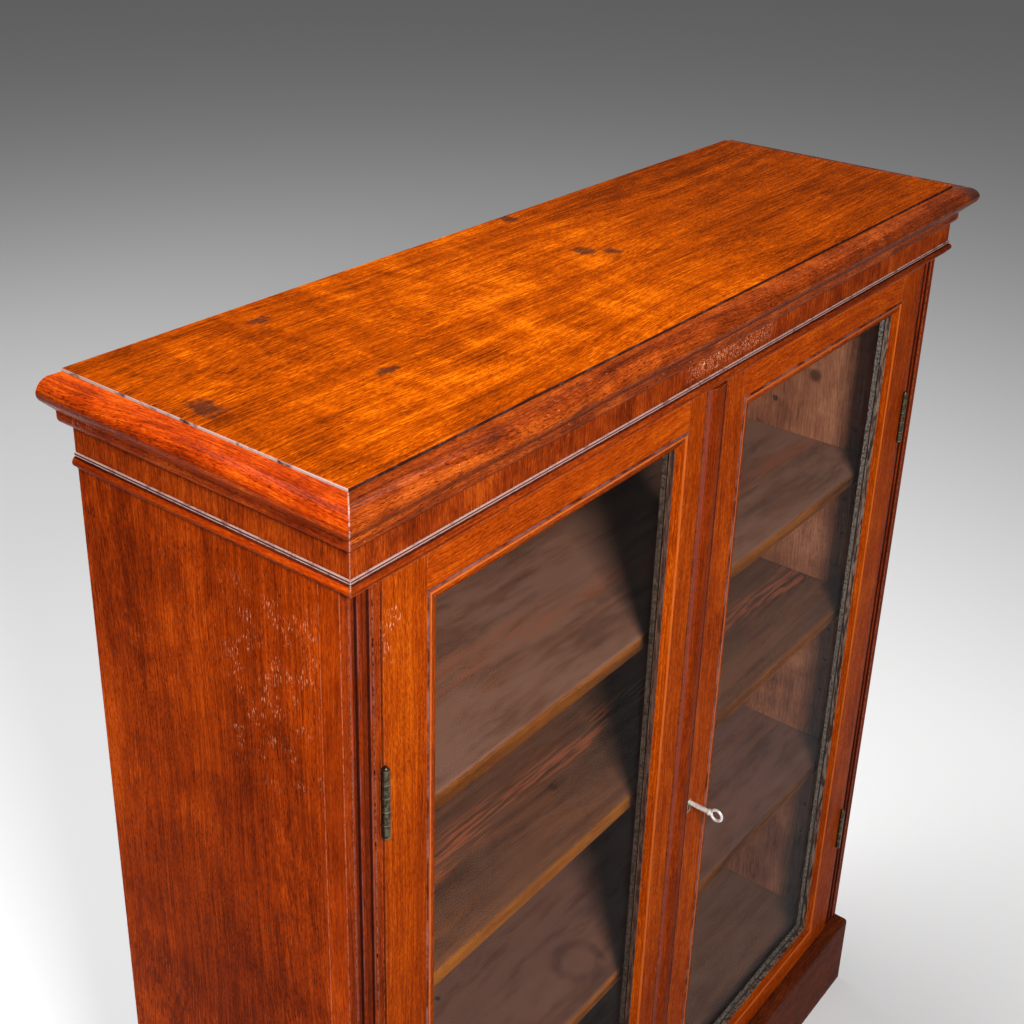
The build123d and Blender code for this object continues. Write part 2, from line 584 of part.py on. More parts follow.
def make_hinges():
    case_leaves = [hinge_leaf(z, PILASTER_INNER, PILASTER_INNER + LEAF_THICKNESS, 0, 1)
                   for z in HINGE_HEIGHTS]
    door_leaves = [hinge_leaf(z, DOOR_OUTER, DOOR_OUTER - LEAF_THICKNESS, 1, -1)
                   for z in HINGE_HEIGHTS]
    pins = [hinge_pin(z) for z in HINGE_HEIGHTS]
    case_screws = [screw(PILASTER_INNER, 1, y, z) for z, y in hinge_screw_places()]
    door_screws = [screw(DOOR_OUTER, -1, y, z) for z, y in hinge_screw_places()]
    save("hinge_case_leaves", *case_leaves, *[mirrored(leaf) for leaf in case_leaves])
    save("hinge_pins", *pins, *[mirrored(pin) for pin in pins])
    save("hinge_case_screws", *case_screws, *[mirrored(piece) for piece in case_screws])
    save("right_door_hinge_leaves", *door_leaves)
    save("left_door_hinge_leaves", *[mirrored(leaf) for leaf in door_leaves])
    save("right_door_screws", *door_screws)
    strike_screws = [screw(-FREE_EDGE["left"], -1, y, z) for z, y in strike_screw_places()]
    save("left_door_screws", *[mirrored(piece) for piece in door_screws], *strike_screws)


# ------------------------------------------------------------------------- the lock and its key
def keyhole(outline, y0, y1):
    """A round hole with a slot below it, along Y."""
    radius, half_slot, reach = outline
    slot = block(KEY_U - half_slot, KEY_U + half_slot, y0, y1, KEY_Z - reach, KEY_Z)
    return rod_y(radius, KEY_U, y0, y1, KEY_Z) + slot


def bolt_pocket(end_x):
    """The clearance space that the thrown bolt enters in the left-hand door."""
    clear = 0.4
    return block(-FREE_EDGE["left"], end_x, BOLT_Y[0] - clear, BOLT_Y[1] + clear,
                 BOLT_Z[0] - clear, BOLT_Z[1] + clear)


def strike_plate_blank():
    edge = -FREE_EDGE["left"]
    return block(edge, edge - LEAF_THICKNESS, *STRIKE_Y, *STRIKE_Z)


def strike_screw_places():
    middle = sum(STRIKE_Y) / 2
    return [(STRIKE_Z[0] + 7.0, middle), (STRIKE_Z[1] - 7.0, middle)]


def make_lock():
    edge = FREE_EDGE["right"]
    low, high = KEY_Z - LOCK_HALF_HEIGHT, KEY_Z + LOCK_HALF_HEIGHT
    cover_front = DOOR_BACK - LOCK_PLATE
    slot_clear = 0.15
    case = block(edge, LOCK_INNER_U, GLASS_FRONT, cover_front, low, high)
    case -= block(edge + LOCK_PLATE, LOCK_INNER_U - LOCK_PLATE, GLASS_FRONT + LOCK_PLATE, cover_front,
                  low + LOCK_PLATE, high - LOCK_PLATE)
    case -= keyhole(KEYHOLE, GLASS_FRONT, GLASS_FRONT + LOCK_PLATE)
    case -= block(edge, edge + LOCK_PLATE, BOLT_Y[0] - slot_clear, BOLT_Y[1] + slot_clear,
                  BOLT_Z[0] - slot_clear, BOLT_Z[1] + slot_clear)
    save("lock_case", case)

    drill_pin = rod_y(1.2, KEY_U, 7.0, cover_front, KEY_Z)
    save("lock_cover", block(edge, LOCK_INNER_U, cover_front, DOOR_BACK, low, high) + drill_pin)

    tail_end, shoulder = KEY_U + 15.5, edge + 10.5
    bolt = block(edge, shoulder, *BOLT_Y, *BOLT_Z)
    bolt += block(shoulder, tail_end, *BOLT_PLATE_Y, *BOLT_PLATE_Z)
    bolt -= block(KEY_U - 5.2, KEY_U + 11.5, *BOLT_PLATE_Y, BOLT_PLATE_Z[0], KEY_Z + 3.6)
    save("lock_bolt", bolt)

    ring_back = DOOR_FACE + ESCUTCHEON_DEPTH
    save("escutcheon",
         keyhole(ESCUTCHEON, DOOR_FACE, ring_back) - keyhole(KEYHOLE, DOOR_FACE, ring_back))
    save("strike_plate", strike_plate_blank() - bolt_pocket(-FREE_EDGE["left"] - LEAF_THICKNESS)
         - [screw_bore(-FREE_EDGE["left"], -1, y, z) for z, y in strike_screw_places()])


def make_key():
    """A pipe key: a ring bow, a bored shank with a collar, and a bit that hangs down."""
    ring_radius, wire = 6.4, 1.6
    ring_y = ring_radius + wire - KEY_REACH
    shank_end = 16.5
    bow = Pos(KEY_U, FRONT_Y + ring_y, KEY_Z) * Rot(0, 90, 0) * Torus(ring_radius, wire)
    key = bow + rod_y(2.6, KEY_U, ring_y + ring_radius, shank_end, KEY_Z)
    key += rod_y(3.5, KEY_U, ring_y + ring_radius + 1.6, ring_y + ring_radius + 3.4, KEY_Z)
    key += block(KEY_U - 1.0, KEY_U + 1.0, 11.0, 16.0, KEY_Z - 10.5, KEY_Z - 1.5)
    save("key", key - rod_y(1.3, KEY_U, 6.0, shank_end, KEY_Z))


# -------------------------------------------------------------- slide bolts of the left-hand door
def door_end(end):
    return DOOR_TOP if end > 0 else DOOR_BOTTOM


def slide_plate_blank(end):
    """A flush plate in the back of the inner stile, at the top (end = 1) or the bottom (-1)."""
    z0 = door_end(end)
    return block(-SLIDE_BOLT_U - SLIDE_PLATE_HALF_WIDTH, -SLIDE_BOLT_U + SLIDE_PLATE_HALF_WIDTH,
                 DOOR_BACK - LEAF_THICKNESS, DOOR_BACK, z0, z0 - end * SLIDE_PLATE_LENGTH)


def slide_bolt_groove(end):
    z0 = door_end(end)
    half = SLIDE_BOLT_RADIUS + 0.4
    return block(-SLIDE_BOLT_U - half, -SLIDE_BOLT_U + half, SLIDE_BOLT_Y - half, DOOR_BACK,
                 z0, z0 - end * (SLIDE_BOLT_LENGTH + 3))


def knob_height(end):
    return door_end(end) - end * (SLIDE_BOLT_LENGTH - 12)


def slide_plate(end):
    start = knob_height(end)
    half = SLIDE_STEM_RADIUS + 0.4
    slot = block(-SLIDE_BOLT_U - half, -SLIDE_BOLT_U + half, SLIDE_BOLT_Y, DOOR_BACK + 1,
                 start - end * half, start + end * (SLIDE_BOLT_THROW + half))
    return slide_plate_blank(end) - slot


def slide_bolt(end):
    tip = door_end(end) - end * 1.0
    bar = rod_z(SLIDE_BOLT_RADIUS, -SLIDE_BOLT_U, SLIDE_BOLT_Y, tip, tip - end * SLIDE_BOLT_LENGTH)
    stem = rod_y(SLIDE_STEM_RADIUS, -SLIDE_BOLT_U, SLIDE_BOLT_Y, DOOR_BACK + 3.5, knob_height(end))
    button = rod_y(4.0, -SLIDE_BOLT_U, DOOR_BACK + 1.2, DOOR_BACK + 3.8, knob_height(end))
    return bar + stem + button


def make_slide_bolts():
    save("slide_bolt_plates", slide_plate(1), slide_plate(-1))
    save("slide_bolt_upper", slide_bolt(1))
    save("slide_bolt_lower", slide_bolt(-1))


def main():
    make_top_board()
    make_mouldings()
    make_sides()
    make_pilasters()
    make_frame_boards()
    make_back_boards()
    make_shelves()
    make_door("left")
    make_door("right")
    make_meeting_bead()
    make_hinges()
    make_lock()
    make_key()
    make_slide_bolts()


main()
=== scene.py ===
"""Looks for the glazed bookcase: camera, soft studio light, procedural finishes and small bevels.

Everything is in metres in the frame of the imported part: +Z up, the doors face -Y, the origin is on the
floor under the middle of the bookcase.
"""

import math

import bpy
from mathutils import Matrix, Vector


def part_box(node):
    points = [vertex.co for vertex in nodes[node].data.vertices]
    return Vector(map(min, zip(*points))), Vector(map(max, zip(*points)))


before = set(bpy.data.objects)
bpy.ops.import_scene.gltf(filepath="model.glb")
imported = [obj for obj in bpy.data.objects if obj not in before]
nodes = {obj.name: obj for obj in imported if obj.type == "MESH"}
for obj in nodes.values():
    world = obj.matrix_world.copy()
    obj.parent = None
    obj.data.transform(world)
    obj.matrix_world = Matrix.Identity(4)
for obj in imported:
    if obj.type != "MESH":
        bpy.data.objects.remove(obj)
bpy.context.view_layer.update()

# --------------------------------------------------------------------------------- camera values
CAMERA_AT = (-1.10147, -0.72822, 1.66638)
CAMERA_YAW = 53.294          # degrees from +Y towards +X
CAMERA_PITCH = 24.098        # degrees below the horizon
CAMERA_ROLL = 1.968
LENS = 50.8711               # millimetres, on a sensor of this width
SENSOR = 36.0
SHIFT = (-0.0176, -0.1094)

# ------------------------------------------------------------------------- light and floor values
KEY_AZIMUTH = 40.0           # degrees to the left of the doors' normal
KEY_ELEVATION = 33.0
KEY_DISTANCE = 2.1
KEY_AIM = (0.0, 0.0, 0.9)
KEY_SIZE = 0.40
KEY_WATTS = 64.0
TOP_AT = (-0.2, 1.0, 3.3)
TOP_AIM = (0.0, 0.4, 0.6)
TOP_SIZE = 1.6
TOP_WATTS = 98.0
WORLD_LIGHT = 0.115
FLOOR_SIZE = 40.0
FLOOR_COLOUR = (0.86, 0.86, 0.86, 1)


def rgb(red, green, blue):
    """A linear colour from the usual 0 to 255 screen values."""
    def linear(value):
        share = value / 255
        return share / 12.92 if share <= 0.04045 else ((share + 0.055) / 1.055) ** 2.4
    return (linear(red), linear(green), linear(blue), 1.0)


# ------------------------------------------------------------ tones of the woods, from dark to light
POLISHED = (rgb(78, 22, 2), rgb(136, 48, 3), rgb(180, 82, 8))
SIDE = (rgb(98, 28, 3), rgb(150, 50, 4), rgb(200, 78, 8))
CORNICE = (rgb(58, 18, 6), rgb(118, 44, 10), rgb(168, 76, 20))
SIDE_CORNICE = (rgb(104, 28, 3), rgb(158, 50, 5), rgb(200, 84, 12))
FRIEZE = (rgb(64, 19, 4), rgb(116, 39, 7), rgb(162, 68, 13))
SIDE_FRIEZE = (rgb(84, 25, 4), rgb(150, 52, 9), rgb(202, 86, 17))
RAIL = (rgb(86, 26, 2), rgb(150, 55, 4), rgb(196, 91, 10))
PILASTER = (rgb(62, 18, 5), rgb(112, 36, 7), rgb(150, 58, 12))
PLINTH = (rgb(40, 15, 8), rgb(84, 33, 15), rgb(128, 56, 24))
BEAD = (rgb(66, 20, 4), rgb(114, 38, 6), rgb(152, 62, 12))
TOP = (rgb(84, 28, 2), rgb(152, 60, 1), rgb(214, 108, 6))
INSIDE = (rgb(34, 16, 8), rgb(84, 45, 25), rgb(128, 73, 42))
# The back boards' tones are painted very dark as shade, for the shadow on them inside the case
SHADOWED_BACK = (rgb(10, 6, 5), rgb(28, 16, 11), rgb(50, 30, 21))
BARE_SIDE = (rgb(88, 46, 31), rgb(146, 88, 62), rgb(184, 122, 92))
GOLDEN = (rgb(66, 30, 8), rgb(118, 62, 16), rgb(158, 92, 30))

# ---------------------------------------------------------------------- colours of wear, dirt and dust, and of painted highlights, reflections and shade
# Colours of arrises that are worn and also carry a painted highlight
EDGE_WEAR_AND_HIGHLIGHT = rgb(214, 120, 70)
MOULDING_EDGE_WEAR_AND_HIGHLIGHT = rgb(230, 150, 110)
FRIEZE_EDGE_WEAR_AND_HIGHLIGHT = rgb(196, 140, 118)
# Painted highlight on the arrises of metal, also standing for wear
METAL_ARRIS_WEAR_AND_HIGHLIGHT = rgb(226, 216, 190)
# Painted highlight on the ridge of a glass moulding
RIDGE_HIGHLIGHT = rgb(206, 104, 36)
# Painted highlight on an arris
ARRIS_HIGHLIGHT = rgb(232, 214, 204)
SCUFF = rgb(232, 190, 160)
SCRATCH = rgb(238, 176, 140)
FLECK = rgb(240, 168, 130)
CORNICE_CHIP = rgb(216, 150, 110)
# Painted shade for quirks and creases, standing in part for grime
CREASE_SHADE_AND_GRIME = rgb(26, 12, 12)
SMUT = rgb(44, 22, 16)
SOOT = rgb(58, 42, 40)
INK = rgb(34, 22, 18)
# The top board's rim: dark with a few painted glints at the front, a painted light grey reflection at the
# left
RIM_FRONT_DARK_AND_GLINTS = (rgb(30, 20, 20), rgb(64, 48, 46))
RIM_LEFT_REFLECTION = (rgb(186, 174, 168), rgb(66, 54, 54))
# Painted shade, with patches of greyish painted sheen, in a moulding's quirk
QUIRK_SHADE_AND_SHEEN = (rgb(46, 18, 16), rgb(108, 76, 74))
PAINT = rgb(46, 36, 31)
PAINT_FLAKES = {"left": rgb(88, 68, 58), "right": rgb(118, 102, 92)}
# Painted reflection on the astragal's fillet, and painted shade in its quirk
FILLET_REFLECTION = rgb(84, 44, 46)
FILLET_QUIRK_SHADE = rgb(30, 12, 14)
# A dark open mitre joint, and a painted highlight along it
MITRE_JOINT_AND_HIGHLIGHT = (rgb(30, 20, 22), rgb(168, 146, 138))
# Painted shade in a pilaster's hollows and grooves, and painted sheen on its arrises
REED_HOLLOW_SHADE = rgb(46, 15, 8)
REED_ARRIS_SHEEN = rgb(104, 66, 66)
REED_GROOVE_SHADE = rgb(22, 8, 8)
# Painted highlight and painted shade on the two slopes of the meeting bead
BEAD_HIGHLIGHT = rgb(120, 62, 56)
BEAD_SHADE = rgb(46, 12, 4)
KNOT = rgb(44, 24, 18)
INSIDE_PORE = rgb(26, 14, 10)
# Painted shade for the corners inside the case, standing in part for grime
INSIDE_CORNER_SHADE_AND_GRIME = rgb(20, 12, 9)
DUST_FILM = rgb(118, 82, 66)
DUST_GRAINS = (rgb(24, 14, 12), rgb(190, 160, 142))
SHELF_MARK = rgb(46, 28, 24)
SHELF_STREAK = rgb(156, 84, 56)
UPPER_SHELF_FILM = rgb(140, 98, 82)
LOWER_SHELF_FILM = rgb(126, 86, 74)

# -------------------------------------------------- colours of metal, putty and glass: base, then spots
AGED_BRASS = (rgb(104, 96, 74), rgb(38, 36, 30))
SCREW_BRASS = (rgb(176, 140, 78), rgb(92, 70, 40))
BRIGHT_STEEL = (rgb(246, 242, 236), rgb(190, 182, 174))
DARK_PUTTY = (rgb(48, 36, 31), rgb(104, 86, 76))
GREY_PUTTY = (rgb(58, 50, 46), rgb(150, 138, 130))
GLASS_TINT = (0.93, 0.94, 0.93, 1)

# ------------------------------------------------------------------- places of the marks, in metres
# Old ink stains in the top: x, y, half length, half width
STAINS = ((-0.478, 0.031, 0.012, 0.020), (-0.332, 0.133, 0.012, 0.008), (-0.337, -0.019, 0.013, 0.006),
          (0.010, 0.040, 0.012, 0.014), (0.028, 0.020, 0.010, 0.010), (0.041, 0.160, 0.010, 0.012))
# Where the top board is painted darker, for the fall-off of the light and for browner wood: axis, from, to,
# how much at each end
TOP_FALLOFF_AND_BROWNING = ((0, -0.45, -0.15, 0.09, 0.0), (0, -0.04, 0.24, 0.0, 0.20), (1, 0.02, 0.18, 0.0, 0.08))
# Hollows and lines of a pilaster's reeds, as distances from the middle of the bookcase
REED_HOLLOWS = ((0.4902, 0.4856), (0.4800, 0.4736))
REED_LINES = (0.4938, 0.4902, 0.4856, 0.4800, 0.4736, 0.4700)
# Knots on the inside of a side panel: y, z, radius
KNOTS = ((0.0, 0.952, 0.012), (0.052, 0.905, 0.006))
# Marks on the shelves: x, y, radius of the ring, width of its line, strength
MIDDLE_SHELF_SPOT = (-0.091, -0.022, 0.0, 0.008, 0.8)
LOWER_SHELF_RING = (-0.064, -0.050, 0.026, 0.010, 0.5)
LOWER_SHELF_SPOT = (-0.205, 0.038, 0.0, 0.005, 0.9)
# Boxes that hold worn patches: lowest corner, highest corner
SIDE_FLECKS = ((-0.51, -0.110, 0.930), (-0.49, 0.005, 1.128))
STILE_FLECKS = ((-0.466, -0.13, 1.050), (-0.440, -0.12, 1.112))
CORNICE_FLECKS = ((-0.527, 0.095, 1.170), (-0.498, 0.166, 1.212))
FRIEZE_SCRATCHES = ((-0.09, -0.14, 1.160), (0.09, -0.13, 1.180))
# The sooty right-hand end of the front cornice: x where the soot starts and where it is full
SOOTY_END = (0.480, 0.512)


# ------------------------------------------------------------------------------- node-tree helper
class Finish:
    """One node material, with short calls for the few kinds of node that the finishes use."""

    def __init__(self, name):
        self.material = bpy.data.materials.new(name)
        self.material.use_nodes = True
        self.tree = self.material.node_tree
        self.tree.nodes.clear()
        self.output = self.tree.nodes.new("ShaderNodeOutputMaterial")

    def node(self, kind, inputs=None, **settings):
        made = self.tree.nodes.new(kind)
        for key, value in settings.items():
            setattr(made, key, value)
        for key, value in (inputs or {}).items():
            self.feed(made.inputs[key], value)
        return made

    def feed(self, socket, value):
        if isinstance(value, bpy.types.NodeSocket):
            self.tree.links.new(value, socket)
        else:
            socket.default_value = value

    def math(self, operation, a, b=0.0, c=0.0):
        return self.node("ShaderNodeMath", {0: a, 1: b, 2: c}, operation=operation).outputs[0]

    def vector(self, operation, a, b):
        return self.node("ShaderNodeVectorMath", {0: a, 1: b}, operation=operation).outputs[0]

    def gap(self, value, at):
        """How far value is from at, either way."""
        return self.math("ABSOLUTE", self.math("SUBTRACT", value, at))

    def reach(self, x, y):
        """The length of the flat vector x, y."""
        return self.math("SQRT", self.math("MULTIPLY_ADD", x, x, self.math("MULTIPLY", y, y)))

    def place(self, scale=(1, 1, 1), shift=(0, 0, 0)):
        """The object's own coordinates, in metres, shifted and scaled."""
        where = self.node("ShaderNodeTexCoord").outputs["Object"]
        moved = self.vector("ADD", where, shift)
        return self.vector("MULTIPLY", moved, scale)

    def parts(self, vector):
        return self.node("ShaderNodeSeparateXYZ", {0: vector}).outputs

    def where(self):
        """The object's own x, y and z, in metres."""
        return self.parts(self.place())

    def facing(self):
        """The x, y and z of the surface's own normal."""
        return self.parts(self.node("ShaderNodeTexCoord").outputs["Normal"])

    def noise(self, vector, scale, detail=2.0, roughness=0.5, distortion=0.0):
        made = self.node("ShaderNodeTexNoise", {"Vector": vector, "Scale": scale, "Detail": detail,
                                                "Roughness": roughness, "Distortion": distortion})
        return made.outputs["Fac"]

    def span(self, value, low, high, to_low=0.0, to_high=1.0):
        """Value rescaled so that low..high gives to_low..to_high, held at both ends."""
        made = self.node("ShaderNodeMapRange", {"Value": value, "From Min": low, "From Max": high,
                                                "To Min": to_low, "To Max": to_high})
        made.interpolation_type = "SMOOTHSTEP"
        return made.outputs["Result"]

    def patches(self, scale, low, high, to_low=0.0, to_high=1.0, stretch=(1, 1, 1)):
        """Ragged patches of a noise, from to_low where it is under low to to_high where it is over high."""
        return self.span(self.noise(self.place(stretch), scale, 3.0, 0.7), low, high, to_low, to_high)

    def mix(self, share, a, b):
        made = self.node("ShaderNodeMix", data_type="RGBA")
        for socket, value in ((made.inputs[0], share), (made.inputs[6], a), (made.inputs[7], b)):
            self.feed(socket, value)
        return made.outputs[2]

    def weak_mix(self, share, strength, a, b):
        """A mix whose share, a map, is first weakened by strength, a number or a map."""
        return self.mix(self.math("MULTIPLY", share, strength), a, b)

    def tinted(self, tone, tones, margin):
        """The dark, middle and light of tones, reached at margin, 0.5 and 1 - margin."""
        made = self.node("ShaderNodeValToRGB", {"Fac": tone})
        points = made.color_ramp.elements
        points.new(0.5)
        for point, position, colour in zip(points, (margin, 0.5, 1 - margin), tones):
            point.position = position
            point.color = colour
        return made.outputs["Color"]

    def bump(self, height, distance, strength):
        inputs = {"Height": height, "Distance": distance, "Strength": strength}
        return self.node("ShaderNodeBump", inputs).outputs["Normal"]

    def dirt(self, reach):
        """0 in the open and 1 deep in a quirk or corner, from ambient occlusion; the finishes paint shade
        with it.
        """
        made = self.node("ShaderNodeAmbientOcclusion", {"Distance": reach})
        made.samples = 6
        return self.math("SUBTRACT", 1.0, made.outputs["AO"])

    def arris(self, reach):
        """0 on a flat face, rising to 1 along a sharp edge."""
        rounded = self.node("ShaderNodeBevel", {"Radius": reach}, samples=4).outputs["Normal"]
        own = self.node("ShaderNodeNewGeometry").outputs["Normal"]
        agreement = self.node("ShaderNodeVectorMath", {0: rounded, 1: own}, operation="DOT_PRODUCT")
        return self.span(agreement.outputs["Value"], 0.82, 0.99, 1.0, 0.0)

    def surface(self, **inputs):
        named = {key.replace("_", " "): value for key, value in inputs.items()}
        shader = self.node("ShaderNodeBsdfPrincipled", named)
        self.tree.links.new(shader.outputs[0], self.output.inputs["Surface"])


# ----------------------------------------------------------------------------------- grain of wood
ALONG = {"X": (1, 0, 0), "Y": (0, 1, 0), "Z": (0, 0, 1)}


def along_grain(finish, grain, seed, squeeze):
    """Coordinates squeezed along the grain, with a slow sideways wander of the fibres."""
    shift = (0.37 * seed, 0.53 * seed + 1.0, 0.71 * seed)
    axis = ALONG[grain]
    wander = finish.noise(finish.place(scale=tuple(1.0 if part else 3.0 for part in axis), shift=shift),
                          2.6, 1.0)
    sideways = finish.math("MULTIPLY_ADD", wander, 0.05, -0.025)
    push = finish.node("ShaderNodeCombineXYZ")
    for index, part in enumerate(axis):
        if not part:
            finish.feed(push.inputs[index], sideways)
    straight = finish.place(scale=tuple(squeeze if part else 1.0 for part in axis), shift=shift)
    return finish.vector("ADD", straight, push.outputs[0])


def margins_in(finish, node):
    """How far inside its outline a point of an upright frame is, from the sides and from the ends."""
    low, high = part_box(node)
    where = finish.where()
    margins = []
    for part, start, end in ((0, low.x, high.x), (2, low.z, high.z)):
        margins.append(finish.math("SUBTRACT", (end - start) / 2, finish.gap(where[part], (start + end) / 2)))
    return margins


def grain_space(finish, grain, seed, squeeze):
    """Coordinates along the grain: an axis, or the name of a mitred frame, whose rails run along X."""
    if grain in ALONG:
        return along_grain(finish, grain, seed, squeeze)
    from_sides, from_ends = margins_in(finish, grain)
    in_rails = finish.math("LESS_THAN", from_ends, from_sides)
    return finish.mix(in_rails, along_grain(finish, "Z", seed, squeeze),
                      along_grain(finish, "X", seed, squeeze))


def wood_tone(finish, grain, seed, bands=0.5, fibres=0.8, mottle=0.3, cloud=0.4, mottle_scale=30.0):
    """How light the wood is at a point, about 0 to 1, and maps of its open pores and of its fibres."""
    lines = grain_space(finish, grain, seed, 0.022)
    dashes = grain_space(finish, grain, seed + 0.3, 0.11)
    patches = finish.place(shift=(0.7 * seed, 0.3 * seed, 0.9 * seed))
    fibre = finish.noise(lines, 620.0, 2.0, 0.6)
    layers = ((finish.noise(lines, 55.0, 3.0, 0.6), bands), (fibre, fibres),
              (finish.noise(patches, mottle_scale, 3.0, 0.6, 0.4), mottle),
              (finish.noise(patches, 5.0), cloud), (finish.noise(dashes, 1500.0, 1.0), 0.7))
    tone = 0.5 - 0.5 * sum(share for layer, share in layers)
    for layer, share in layers:
        tone = finish.math("MULTIPLY_ADD", layer, share, tone)
    pore = finish.span(finish.noise(dashes, 1900.0, 1.0), 0.56, 0.70)
    return tone, pore, fibre


# ---------------------------------------------------------------------------- the kinds of finish
# A mark is a function that takes the finish and its colour so far, and returns the colour with the mark.
SMOOTHEST = 0.20
ROUGHEST = 0.34
# How far from 0 and from 1 the tone has the darkest and the lightest colour
POLISHED_MARGIN = 0.12
UNPOLISHED_MARGIN = 0.1


def scuffed(finish, colour, seed, strength):
    """Short pale scuffs, in a few places only."""
    streaks = finish.noise(finish.place(scale=(1.0, 1.0, 0.3), shift=(0.2, 0.4, seed)), 700.0)
    places = finish.span(finish.noise(finish.place(shift=(seed, 0.0, 0.3)), 7.0), 0.56, 0.68)
    scuff = finish.math("MULTIPLY", finish.span(streaks, 0.66, 0.76), places)
    return finish.weak_mix(scuff, strength, colour, SCUFF)


def wood(name, grain, seed, tones, pores=0.55, edge_wear_highlight=0.35, edge_wear_highlight_colour=EDGE_WEAR_AND_HIGHLIGHT, scuffs=0.0, polish=0.004,
         crease_shade_reach=0.006, shade=None, marks=(), **figure):
    """Polished hardwood. figure is passed on to wood_tone."""
    finish = Finish(name)
    tone, pore, fibre = wood_tone(finish, grain, seed, **figure)
    if shade:
        tone = shade(finish, tone)
    colour = finish.tinted(tone, tones, POLISHED_MARGIN)
    red, green, blue, alpha = tones[0]
    colour = finish.weak_mix(pore, pores, colour, (red * 0.30, green * 0.25, blue * 0.25, alpha))
    if scuffs:
        colour = scuffed(finish, colour, seed, scuffs)
    # Painted shade: the colour darkens where ambient occlusion finds a quirk or corner, standing in part for
    # dirt there
    crease_shade_and_grime = finish.span(finish.dirt(crease_shade_reach), 0.30, 0.75)
    colour = finish.weak_mix(crease_shade_and_grime, 0.9, colour, CREASE_SHADE_AND_GRIME)
    for mark in marks:
        colour = mark(finish, colour)
    # The arrises are lightened: partly worn edges, partly a painted highlight along them
    chips = finish.span(finish.noise(finish.place(), 160.0, 3.0, 0.65), 0.34, 0.58)
    edge = finish.math("MULTIPLY", finish.arris(0.0011), chips)
    colour = finish.weak_mix(edge, edge_wear_highlight, colour, edge_wear_highlight_colour)
    smear = finish.noise(finish.place(), 34.0, 3.0, 0.6)
    rough = finish.math("MULTIPLY_ADD", smear, ROUGHEST - SMOOTHEST, SMOOTHEST)
    height = finish.math("MULTIPLY_ADD", pore, -0.7, fibre)
    normal = finish.bump(height, 0.00010, 0.5)
    shine = finish.math("MULTIPLY_ADD", edge, 0.4, polish)
    finish.surface(Base_Color=colour, Roughness=rough, Normal=normal, Specular_IOR_Level=shine)
    return finish.material


def inside_wood(name, grain, seed, tones, dust=0.5, film_colour=DUST_FILM, golden_front=False, marks=()):
    """Unpolished old wood under brown dust, thickest where it faces up."""
    finish = Finish(name)
    tone, pore, fibre = wood_tone(finish, grain, seed, bands=1.7, fibres=0.7, mottle=0.4, cloud=0.8)
    colour = finish.tinted(tone, tones, UNPOLISHED_MARGIN)
    colour = finish.weak_mix(pore, 0.5, colour, INSIDE_PORE)
    facing = finish.facing()
    upward = finish.span(facing[2], 0.3, 0.95, 0.25, 1.0)
    drift = finish.noise(grain_space(finish, grain, seed + 1.0, 0.25), 34.0, 4.0, 0.7)
    film = finish.math("MULTIPLY", finish.span(drift, 0.36, 0.60, 0.45, 1.0), upward)
    colour = finish.weak_mix(film, dust, colour, film_colour)
    grains = finish.noise(finish.place(), 560.0, 2.0, 0.7)
    dark_grains, pale_grains = DUST_GRAINS
    colour = finish.mix(finish.span(grains, 0.70, 0.78, 0.0, 0.35), colour, pale_grains)
    colour = finish.mix(finish.span(grains, 0.24, 0.34, 0.25, 0.0), colour, dark_grains)
    if golden_front:
        lightened = finish.span(facing[1], -0.75, -0.35, 0.85, 0.0)
        colour = finish.mix(lightened, colour, finish.tinted(tone, GOLDEN, UNPOLISHED_MARGIN))
    for mark in marks:
        colour = mark(finish, colour)
    # Painted shade: the inside darkens in corners and creases found by ambient occlusion, standing in part
    # for grime
    crease_shade_and_grime = finish.span(finish.dirt(0.02), 0.35, 0.9)
    colour = finish.weak_mix(crease_shade_and_grime, 0.7, colour, INSIDE_CORNER_SHADE_AND_GRIME)
    normal = finish.bump(fibre, 0.00018, 0.6)
    finish.surface(Base_Color=colour, Roughness=0.62, Normal=normal, Specular_IOR_Level=0.0)
    return finish.material


def metal(name, colours, roughness, metallic=1.0):
    """Spotted old metal whose arrises are painted bright, as wear and as a painted highlight."""
    finish = Finish(name)
    blotch = finish.span(finish.noise(finish.place(), 260.0, 4.0, 0.65), 0.35, 0.7)
    colour = finish.mix(blotch, *colours)
    # Painted highlight along the arrises, also standing for worn edges
    colour = finish.weak_mix(finish.arris(0.0008), 0.7, colour, METAL_ARRIS_WEAR_AND_HIGHLIGHT)
    rough = finish.math("MULTIPLY_ADD", blotch, 0.22, roughness)
    normal = finish.bump(finish.noise(finish.place(), 1500.0), 0.00005, 0.6)
    finish.surface(Base_Color=colour, Metallic=metallic, Roughness=rough, Normal=normal)
    return finish.material


def putty(name, colours):
    """Crumbling painted putty on the beads behind the glass."""
    finish = Finish(name)
    lumps = finish.patches(330.0, 0.35, 0.7)
    normal = finish.bump(lumps, 0.0004, 0.6)
    finish.surface(Base_Color=finish.mix(lumps, *colours), Roughness=0.8, Normal=normal,
                   Specular_IOR_Level=0.1)
    return finish.material


